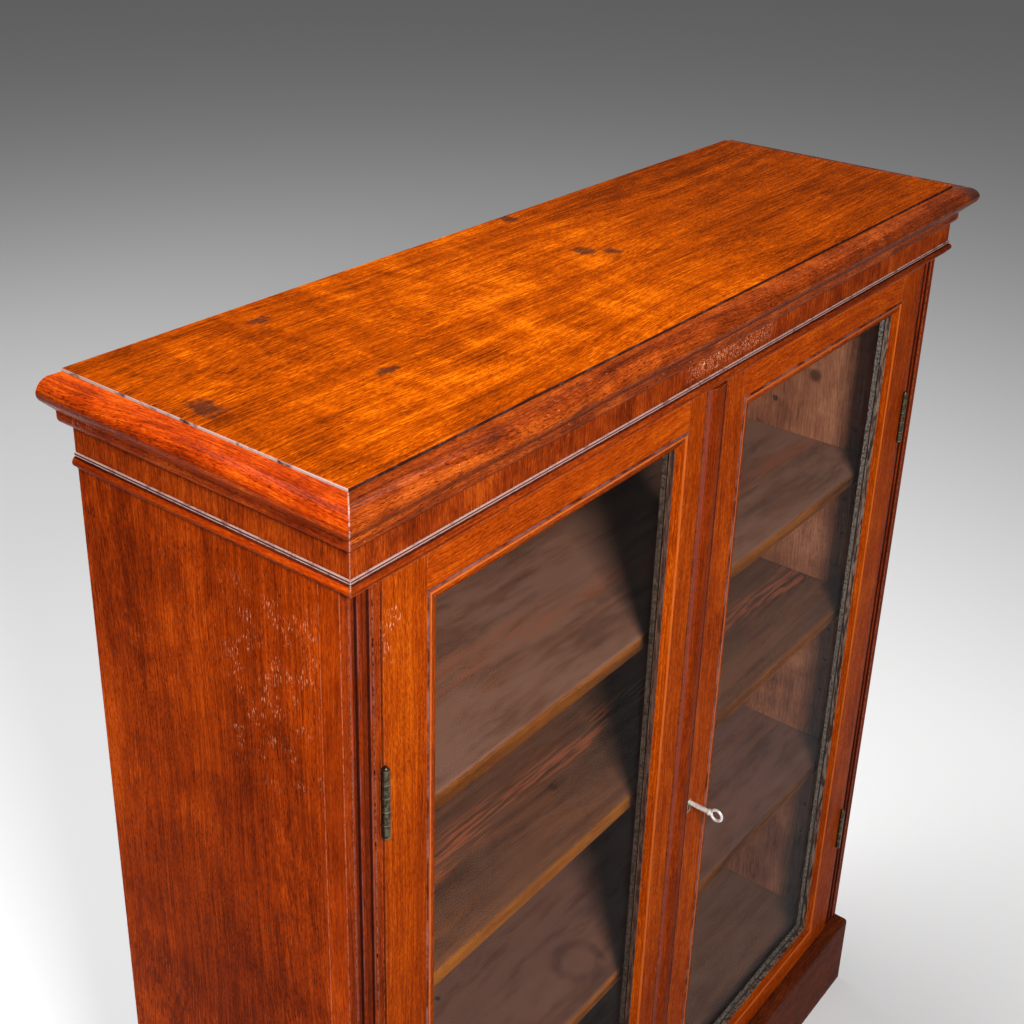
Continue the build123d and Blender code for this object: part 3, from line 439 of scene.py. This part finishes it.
def pane():
    """Thin old glass: see-through, with a weak and slightly wavy reflection."""
    finish = Finish("glass")
    clear = finish.node("ShaderNodeBsdfTransparent", {"Color": GLASS_TINT}).outputs[0]
    ripple = finish.noise(finish.place(), 9.0, 1.0)
    normal = finish.bump(ripple, 0.002, 0.25)
    shine = finish.node("ShaderNodeBsdfGlossy", {"Color": (1, 1, 1, 1), "Roughness": 0.03,
                                                 "Normal": normal}).outputs[0]
    facing = finish.node("ShaderNodeLayerWeight", {"Blend": 0.5}).outputs["Facing"]
    edge = finish.math("MULTIPLY_ADD", finish.math("POWER", facing, 5.0), 0.12, 0.001)
    last = finish.node("ShaderNodeMixShader", {0: edge, 1: clear, 2: shine}).outputs[0]
    finish.tree.links.new(last, finish.output.inputs["Surface"])
    return finish.material


# ------------------------------------------------------------------------- marks of the top board
def stained(finish, colour):
    """The ink stains of the top board."""
    where = finish.where()
    ragged = finish.math("MULTIPLY_ADD", finish.noise(finish.place(), 120.0, 4.0, 0.7), 2.4, -1.2)
    for x, y, half_x, half_y in STAINS:
        across = finish.math("DIVIDE", finish.math("SUBTRACT", where[0], x), half_x)
        back = finish.math("DIVIDE", finish.math("SUBTRACT", where[1], y), half_y)
        spot = finish.span(finish.math("ADD", finish.reach(across, back), ragged), 0.5, 1.3, 0.75, 0.0)
        colour = finish.mix(spot, colour, INK)
    return colour


def rim_sheen_by_side(finish, colour):
    """The rim round the raised edge of the top board: a painted light grey reflection at the left, dark with
    a few painted glints in front and at the right.
    """
    facing = finish.facing()
    sloping = finish.span(facing[2], 0.35, 0.95, 0.92, 0.0)
    not_behind = finish.span(facing[1], 0.3, 0.6, 1.0, 0.0)
    patchy = finish.patches(42.0, 0.50, 0.66)
    # Which way the rim faces picks between the painted reflection at the left and the dark front
    at_left = finish.span(facing[0], -0.8, -0.3, 1.0, 0.0)
    rim = finish.mix(at_left, finish.mix(patchy, *RIM_FRONT_DARK_AND_GLINTS), finish.mix(patchy, *RIM_LEFT_REFLECTION))
    return finish.weak_mix(sloping, not_behind, colour, rim)


def falloff_and_browner_right(finish, tone):
    """The top board is painted brightest left of its middle and darker towards its right-hand end, standing
    for the fall-off of the light as well as browner wood.
    """
    where = finish.where()
    # Painted fall-off of the light across the top, together with browner wood
    for part, start, end, first, last in TOP_FALLOFF_AND_BROWNING:
        tone = finish.math("SUBTRACT", tone, finish.span(where[part], start, end, first, last))
    flames = finish.noise(finish.place(scale=(1.0, 0.5, 1.0), shift=(0.6, 0.2, 0.1)), 24.0, 4.0, 0.6, 0.7)
    strength = finish.span(where[0], -0.10, 0.15, 0.75, 0.15)
    return finish.math("MULTIPLY_ADD", finish.math("SUBTRACT", flames, 0.5), strength, tone)


# ------------------------------------------------------------- marks of the mouldings and pilasters
def quirked(node):
    """Painted shade with patches of greyish painted sheen in the groove, and a painted highlight on the
    ridge, round a mitred frame, and flaking paint on its edge by the glass.
    """
    flakes = PAINT_FLAKES[node.split("_")[0]]

    def draw(finish, colour):
        inset = finish.math("MINIMUM", *margins_in(finish, node))
        # Painted shade in the quirk, with patches of a greyish painted sheen
        groove = finish.span(inset, 0.0009, 0.0015, 0.85, 0.0)
        patchy = finish.patches(36.0, 0.35, 0.62)
        colour = finish.mix(groove, colour, finish.mix(patchy, *QUIRK_SHADE_AND_SHEEN))
        # Painted highlight along the ridge of the bead
        lightened = finish.span(finish.gap(inset, 0.0034), 0.0008, 0.0022, 0.45, 0.0)
        colour = finish.mix(lightened, colour, RIDGE_HIGHLIGHT)
        sight_edge = finish.span(inset, 0.0136, 0.0139, 0.0, 0.95)
        flaky = finish.patches(260.0, 0.40, 0.62, stretch=(1.0, 1.0, 0.15))
        return finish.mix(sight_edge, colour, finish.mix(flaky, PAINT, flakes))
    return draw


def fillet_lines(finish, colour):
    """The astragal's fillet: a face with a painted mauve reflection between two arrises with painted
    highlights, stronger on the side faces, over a quirk painted dark as shade.
    """
    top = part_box("astragal_front")[1].z
    height = finish.where()[2]
    patchy = finish.patches(90.0, 0.30, 0.50, 0.25, 1.0)
    # Painted reflection on the fillet's face
    face = finish.span(height, top - 0.0039, top - 0.0029)
    colour = finish.weak_mix(face, 0.85, colour, FILLET_REFLECTION)
    # Painted shade in the quirk under the fillet
    quirk = finish.span(finish.gap(height, top - 0.0038), 0.0004, 0.0009, 0.8, 0.0)
    colour = finish.mix(quirk, colour, FILLET_QUIRK_SHADE)
    # Painted highlights on the two arrises, stronger on the side faces
    upper = finish.span(height, top - 0.0007, top - 0.0002)
    lower = finish.span(finish.gap(height, top - 0.0026), 0.0003, 0.0008, 0.9, 0.0)
    shining = finish.math("MULTIPLY", finish.math("MAXIMUM", upper, lower), patchy)
    at_side = finish.span(finish.math("ABSOLUTE", finish.facing()[0]), 0.3, 0.6, 0.45, 0.75)
    return finish.weak_mix(shining, at_side, colour, ARRIS_HIGHLIGHT)


def mitred(finish, colour):
    """Opened mitres that run outwards from the top board's front corners: a dark joint with patches of
    painted highlight.
    """
    low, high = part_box("top_board")
    where = finish.where()
    ahead = finish.math("SUBTRACT", low.y, where[1])
    out = finish.math("SUBTRACT", finish.math("ABSOLUTE", where[0]), high.x)
    # A dark open joint, with patches of painted highlight along it
    seam = finish.span(finish.gap(ahead, out), 0.0004, 0.0010, 0.65, 0.0)
    patchy = finish.patches(150.0, 0.40, 0.55)
    return finish.mix(seam, colour, finish.mix(patchy, *MITRE_JOINT_AND_HIGHLIGHT))


def sooted(finish, colour):
    """Old dark dirt on top of the right-hand cornice."""
    upward = finish.span(finish.facing()[2], 0.1, 0.6, 0.0, 0.85)
    ragged = finish.patches(90.0, 0.36, 0.56)
    return finish.weak_mix(upward, ragged, colour, SOOT)


def handled(finish, colour):
    """Dark dirt worked into the surface, a sooty right-hand end and small pale chips on the front cornice."""
    long_way = finish.place(scale=(0.25, 1.0, 1.0))
    smut = finish.span(finish.noise(long_way, 70.0, 4.0, 0.7), 0.56, 0.72, 0.0, 0.7)
    colour = finish.mix(smut, colour, SMUT)
    far_end = finish.span(finish.where()[0], *SOOTY_END, 0.0, 0.75)
    upward = finish.span(finish.facing()[2], -0.1, 0.4)
    colour = finish.weak_mix(far_end, upward, colour, SOOT)
    chips = finish.span(finish.noise(finish.place(), 240.0, 2.0, 0.6), 0.71, 0.77, 0.0, 0.35)
    return finish.mix(chips, colour, CORNICE_CHIP)


def reeded(finish, colour):
    """The hollows of a pilaster are painted dark as shade, and where they meet the reeds there are lines of
    painted sheen beside dark lines of painted shade.
    """
    off_centre = finish.math("ABSOLUTE", finish.where()[0])
    patchy = finish.patches(60.0, 0.40, 0.60, stretch=(1.0, 1.0, 0.4))
    for outer, inner in REED_HOLLOWS:
        half = (outer - inner) / 2
        # Painted shade in the hollow
        hollow = finish.span(finish.gap(off_centre, (outer + inner) / 2), half - 0.0006, half, 0.5, 0.0)
        colour = finish.mix(hollow, colour, REED_HOLLOW_SHADE)
    for line in REED_LINES:
        apart = finish.math("SUBTRACT", off_centre, line)
        # Painted sheen on the arris beside each line
        arris_sheen = finish.span(finish.math("ABSOLUTE", finish.math("ADD", apart, 0.0010)), 0.0002, 0.0006,
                            0.65, 0.0)
        colour = finish.weak_mix(arris_sheen, patchy, colour, REED_ARRIS_SHEEN)
        # Painted shade in the narrow groove at each line
        groove = finish.span(finish.math("ABSOLUTE", apart), 0.0003, 0.0008, 0.85, 0.0)
        colour = finish.mix(groove, colour, REED_GROOVE_SHADE)
    return colour


def polished_return(finish, colour):
    """The outer face of a pilaster is polished with the side it belongs to."""
    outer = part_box("pilaster_right")[1].x
    tone, _, _ = wood_tone(finish, "Z", 9.4, mottle=0.5, cloud=0.8)
    side_colour = finish.tinted(tone, SIDE, POLISHED_MARGIN)
    sideways = finish.span(finish.math("ABSOLUTE", finish.facing()[0]), 0.80, 0.95)
    outside = finish.span(finish.math("ABSOLUTE", finish.where()[0]), outer - 0.0010, outer - 0.0003)
    return finish.weak_mix(sideways, outside, colour, side_colour)


def lit_and_shaded_bead(finish, colour):
    """The half-round bead has a painted highlight on its left slope and painted shade on its right."""
    low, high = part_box("meeting_bead")
    across = finish.where()[0]
    # Painted highlight on the left slope, painted shade on the right
    left = finish.span(across, low.x + 0.0030, low.x + 0.0065, 0.40, 0.0)
    right = finish.span(across, high.x - 0.0105, high.x - 0.0040, 0.0, 0.6)
    colour = finish.mix(left, colour, BEAD_HIGHLIGHT)
    return finish.mix(right, colour, BEAD_SHADE)


# ---------------------------------------------------------------------- worn patches inside a box
def inside_box(finish, low, high, solid, strength):
    """Strength in the middle of a box, fading from the share solid of its half size to its faces."""
    where = finish.where()
    inside = strength
    for part in range(3):
        middle = (low[part] + high[part]) / 2
        half = (high[part] - low[part]) / 2
        fade = finish.span(finish.gap(where[part], middle), solid * half, half, 1.0, 0.0)
        inside = finish.math("MULTIPLY", fade, inside)
    return inside


def scratched(low, high, strength):
    """Fine wandering scratches inside a box."""
    def draw(finish, colour):
        inside = inside_box(finish, low, high, 0.6, strength)
        winding = finish.noise(finish.place(), 230.0, 1.5, 0.6, 1.2)
        line = finish.span(finish.gap(winding, 0.5), 0.004, 0.012, 1.0, 0.0)
        return finish.weak_mix(inside, line, colour, SCRATCH)
    return draw


def flecked(low, high, strength):
    """Clusters of short pale dashes inside a box."""
    def draw(finish, colour):
        inside = inside_box(finish, low, high, 0.7, strength)
        dashes = finish.span(finish.noise(finish.place(scale=(1.0, 1.0, 0.24)), 760.0), 0.57, 0.66)
        clusters = finish.span(finish.noise(finish.place(), 48.0, 2.0, 0.6), 0.50, 0.60)
        return finish.weak_mix(finish.math("MULTIPLY", dashes, clusters), inside, colour, FLECK)
    return draw


# ------------------------------------------------------------------------------- marks of the inside
def bare_inside(finish, colour):
    """The polish stops at the inner face of a side panel, which has two knots."""
    inner_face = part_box("side_panel_right")[0].x
    where = finish.where()
    inner = finish.span(finish.math("ABSOLUTE", where[0]), inner_face + 0.0010, inner_face + 0.0020, 1.0, 0.0)
    tone, _, _ = wood_tone(finish, "Z", 77.0, bands=0.4, mottle=0.8, cloud=0.9, mottle_scale=22.0)
    bare = finish.tinted(tone, BARE_SIDE, UNPOLISHED_MARGIN)
    for y, z, radius in KNOTS:
        off = finish.reach(finish.math("SUBTRACT", where[1], y), finish.math("SUBTRACT", where[2], z))
        bare = finish.mix(finish.span(off, 0.4 * radius, radius, 0.75, 0.0), bare, KNOT)
    return finish.mix(inner, colour, bare)


def ringed(x, y, radius, width, strength):
    """A dark ring left on a shelf, or a spot where the radius is 0."""
    def draw(finish, colour):
        where = finish.where()
        smudged = finish.span(finish.noise(finish.place(), 60.0), 0.35, 0.6, 0.4, 1.0)
        off = finish.reach(finish.math("SUBTRACT", where[0], x), finish.math("SUBTRACT", where[1], y))
        line = finish.span(finish.gap(off, radius), 0.2 * width, width, strength, 0.0)
        return finish.weak_mix(line, smudged, colour, SHELF_MARK)
    return draw


def streaked(strength):
    """A run of reddish grain along the middle of a shelf."""
    def draw(finish, colour):
        wander = finish.math("MULTIPLY_ADD", finish.noise(finish.place(scale=(0.5, 1.0, 1.0)), 10.0),
                             0.08, -0.04)
        off_line = finish.math("ABSOLUTE", finish.math("ADD", finish.where()[1], wander))
        strands = finish.noise(grain_space(finish, "X", 5.0, 0.06), 230.0, 2.0, 0.6)
        run = finish.span(off_line, 0.006, 0.026, strength, 0.0)
        return finish.weak_mix(run, finish.span(strands, 0.46, 0.58), colour, SHELF_STREAK)
    return draw


# -------------------------------------------------------------------- which finish goes on what
PLAIN = {"scuffs": 0.15}
# Parts of the names of the nodes whose arrises are rounded
ROUNDED = ("stile", "rail", "shelf_upper", "shelf_middle", "shelf_lower", "side_panel", "top_board",
           "astragal", "cornice", "pilaster", "plinth", "mouldings")
ARRIS_WIDTH = 0.0006
ARRIS_SEGMENTS = 2
SHARP_FROM = 35              # degrees between two faces
WELD_WITHIN = 0.00001


def dress(name, material):
    slots = nodes[name].data.materials
    slots.clear()
    slots.append(material)


def soften(piece):
    """Weld the split seams of an imported node and round its arrises a little."""
    weld = piece.modifiers.new("weld", "WELD")
    weld.merge_threshold = WELD_WITHIN
    bevel = piece.modifiers.new("arris", "BEVEL")
    bevel.width = ARRIS_WIDTH
    bevel.segments = ARRIS_SEGMENTS
    bevel.limit_method = "ANGLE"
    bevel.angle_limit = math.radians(SHARP_FROM)
    bevel.harden_normals = True


def case_outside():
    """Name, grain, tones and looks of the polished pieces of the case, and of the meeting bead."""
    cornice = {"mottle": 0.7, "bands": 1.0, "pores": 0.8, "crease_shade_reach": 0.009}
    side_cornice = {**cornice, "fibres": 1.1, "polish": 0.015}
    side_frieze = {"bands": 0.4, "mottle": 0.6, "edge_wear_highlight": 0.9, "edge_wear_highlight_colour": FRIEZE_EDGE_WEAR_AND_HIGHLIGHT}
    astragal = {"marks": (fillet_lines, mitred)}
    side = {"marks": (bare_inside, flecked(*SIDE_FLECKS, 0.5)), "scuffs": 0.2, "mottle": 0.6, "cloud": 0.8,
            "bands": 0.7, "fibres": 1.1, "pores": 0.85}
    pilaster = {"marks": (reeded, polished_return), "crease_shade_reach": 0.009, "bands": 0.8, "edge_wear_highlight": 0.8}
    return [
        ("cornice_front", "X", CORNICE, {**cornice, "marks": (mitred, handled), "polish": 0.02}),
        ("cornice_left", "Y", SIDE_CORNICE, {**side_cornice,
                                             "marks": (mitred, flecked(*CORNICE_FLECKS, 1.0))}),
        ("cornice_right", "Y", CORNICE, {**side_cornice, "marks": (mitred, sooted)}),
        ("frieze_front", "Z", FRIEZE, {"marks": (scratched(*FRIEZE_SCRATCHES, 0.9),), "bands": 0.25,
                                       "mottle": 0.8}),
        ("frieze_left", "Z", SIDE_FRIEZE, side_frieze),
        ("frieze_right", "Z", SIDE_FRIEZE, side_frieze),
        ("astragal_front", "X", FRIEZE, astragal),
        ("astragal_left", "Y", SIDE_CORNICE, astragal),
        ("astragal_right", "Y", POLISHED, astragal),
        ("side_panel_left", "Z", SIDE, side),
        ("side_panel_right", "Z", SIDE, side),
        ("pilaster_left", "Z", PILASTER, pilaster),
        ("pilaster_right", "Z", PILASTER, pilaster),
        ("head_rail", "X", POLISHED, PLAIN),
        ("plinth_front", "X", PLINTH, PLAIN),
        ("plinth_left", "Y", PLINTH, PLAIN),
        ("plinth_right", "Y", PLINTH, PLAIN),
        ("meeting_bead", "Z", BEAD, {"marks": (lit_and_shaded_bead,)}),
    ]


def door_outside(hand):
    """Name, grain, tones and looks of the polished pieces of one door."""
    worn_stile = {"marks": (flecked(*STILE_FLECKS, 0.6),)}
    mouldings = f"{hand}_door_mouldings"
    return [
        (f"{hand}_door_stile_outer", "Z", POLISHED, worn_stile if hand == "left" else PLAIN),
        (f"{hand}_door_stile_inner", "Z", POLISHED, PLAIN),
        (f"{hand}_door_rail_top", "X", RAIL, PLAIN),
        (f"{hand}_door_rail_bottom", "X", RAIL, PLAIN),
        (mouldings, mouldings, POLISHED, {"marks": (quirked(mouldings),), "edge_wear_highlight_colour": MOULDING_EDGE_WEAR_AND_HIGHLIGHT}),
    ]


def dress_outside():
    """Finishes of the polished pieces. Each one's place in the list seeds its grain."""
    pieces = case_outside() + door_outside("left") + door_outside("right")
    for index, (name, grain, tones, looks) in enumerate(pieces):
        dress(name, wood(f"polish_{name}", grain, index * 1.7 + 0.4, tones, **looks))
    dress("top_board", wood("polish_top_board", "X", 3.3, TOP, edge_wear_highlight=0.3, pores=0.7, bands=0.6, fibres=1.0,
                            mottle=0.2, cloud=0.3, shade=falloff_and_browner_right, marks=(stained, rim_sheen_by_side)))


def dress_inside():
    """Finishes of the unpolished pieces. Each one's place in the list seeds its grain."""
    upper = {"golden_front": True, "dust": 0.85, "film_colour": UPPER_SHELF_FILM, "marks": (streaked(0.5),)}
    middle = {"golden_front": True, "marks": (streaked(0.9), ringed(*MIDDLE_SHELF_SPOT))}
    lower = {"golden_front": True, "dust": 0.75, "film_colour": LOWER_SHELF_FILM,
             "marks": (ringed(*LOWER_SHELF_RING), ringed(*LOWER_SHELF_SPOT))}
    pieces = [
        ("carcass_top", "X", INSIDE, {}),
        ("plinth_back", "X", INSIDE, {}),
        ("glue_blocks", "X", INSIDE, {}),
        ("door_stops", "X", INSIDE, {}),
        # Painted shade: the back boards are made dark for the shadow inside the case
        ("back_boards", "Z", SHADOWED_BACK, {"dust": 0.0}),
        ("bottom_board", "X", INSIDE, {"dust": 0.8}),
        ("shelf_upper", "X", INSIDE, upper),
        ("shelf_middle", "X", INSIDE, middle),
        ("shelf_lower", "X", INSIDE, lower),
    ]
    for index, (name, grain, tones, looks) in enumerate(pieces):
        dress(name, inside_wood(f"inside_{name}", grain, index * 2.3 + 40, tones, **looks))


def dress_fittings():
    dark_brass = metal("aged_brass", AGED_BRASS, 0.35)
    brass = metal("screw_brass", SCREW_BRASS, 0.32)
    steel = metal("bright_steel", BRIGHT_STEEL, 0.28, metallic=0.45)
    glass = pane()
    for hand in ("left", "right"):
        dress(f"{hand}_door_glass", glass)
        dress(f"{hand}_door_hinge_leaves", dark_brass)
        dress(f"{hand}_door_screws", brass)
    dress("left_door_glazing_beads", putty("dark_putty", DARK_PUTTY))
    dress("right_door_glazing_beads", putty("grey_putty", GREY_PUTTY))
    for name in ("hinge_case_leaves", "hinge_pins"):
        dress(name, dark_brass)
    for name in ("hinge_case_screws", "shelf_pegs", "bolt_keeps", "strike_plate", "slide_bolt_plates",
                 "slide_bolt_upper", "slide_bolt_lower", "escutcheon", "lock_cover", "lock_case",
                 "lock_bolt"):
        dress(name, brass)
    dress("key", steel)


def round_arrises():
    for name, piece in nodes.items():
        if any(word in name for word in ROUNDED):
            soften(piece)


# ------------------------------------------------------------------------- floor, light and camera
def make_floor():
    bpy.ops.mesh.primitive_plane_add(size=FLOOR_SIZE, location=(0, 0, 0))
    floor = bpy.context.object
    floor.name = "floor"
    finish = Finish("floor")
    finish.surface(Base_Color=FLOOR_COLOUR, Roughness=0.9)
    floor.data.materials.append(finish.material)


def area_light(name, at, target, size, watts):
    data = bpy.data.lights.new(name, "AREA")
    data.shape = "SQUARE"
    data.size = size
    data.energy = watts
    lamp = bpy.data.objects.new(name, data)
    bpy.context.scene.collection.objects.link(lamp)
    lamp.location = at
    lamp.rotation_mode = "QUATERNION"
    lamp.rotation_quaternion = (Vector(target) - Vector(at)).to_track_quat("-Z", "Y")


def make_lights():
    azimuth, elevation = math.radians(KEY_AZIMUTH), math.radians(KEY_ELEVATION)
    flat = math.cos(elevation)
    towards_key = Vector((-math.sin(azimuth) * flat, -math.cos(azimuth) * flat, math.sin(elevation)))
    area_light("key", Vector(KEY_AIM) + KEY_DISTANCE * towards_key, KEY_AIM, KEY_SIZE, KEY_WATTS)
    area_light("overhead", TOP_AT, TOP_AIM, TOP_SIZE, TOP_WATTS)
    world = bpy.data.worlds.new("studio")
    world.use_nodes = True
    background = world.node_tree.nodes["Background"]
    background.inputs["Color"].default_value = (1, 1, 1, 1)
    background.inputs["Strength"].default_value = WORLD_LIGHT
    bpy.context.scene.world = world


def make_camera():
    yaw, pitch, roll = (math.radians(angle) for angle in (CAMERA_YAW, CAMERA_PITCH, CAMERA_ROLL))
    ahead = Vector((math.sin(yaw) * math.cos(pitch), math.cos(yaw) * math.cos(pitch), -math.sin(pitch)))
    level_right = Vector((math.cos(yaw), -math.sin(yaw), 0))
    level_up = level_right.cross(ahead)
    right = math.cos(roll) * level_right + math.sin(roll) * level_up
    up = math.cos(roll) * level_up - math.sin(roll) * level_right
    data = bpy.data.cameras.new("camera")
    data.sensor_width = SENSOR
    data.lens = LENS
    data.shift_x, data.shift_y = SHIFT
    camera = bpy.data.objects.new("camera", data)
    bpy.context.scene.collection.objects.link(camera)
    camera.rotation_mode = "QUATERNION"
    camera.rotation_quaternion = Matrix((right, up, -ahead)).transposed().to_quaternion()
    camera.location = CAMERA_AT
    bpy.context.scene.camera = camera


bpy.context.scene.view_settings.view_transform = "Standard"
dress_outside()
dress_inside()
dress_fittings()
round_arrises()
make_floor()
make_lights()
make_camera()
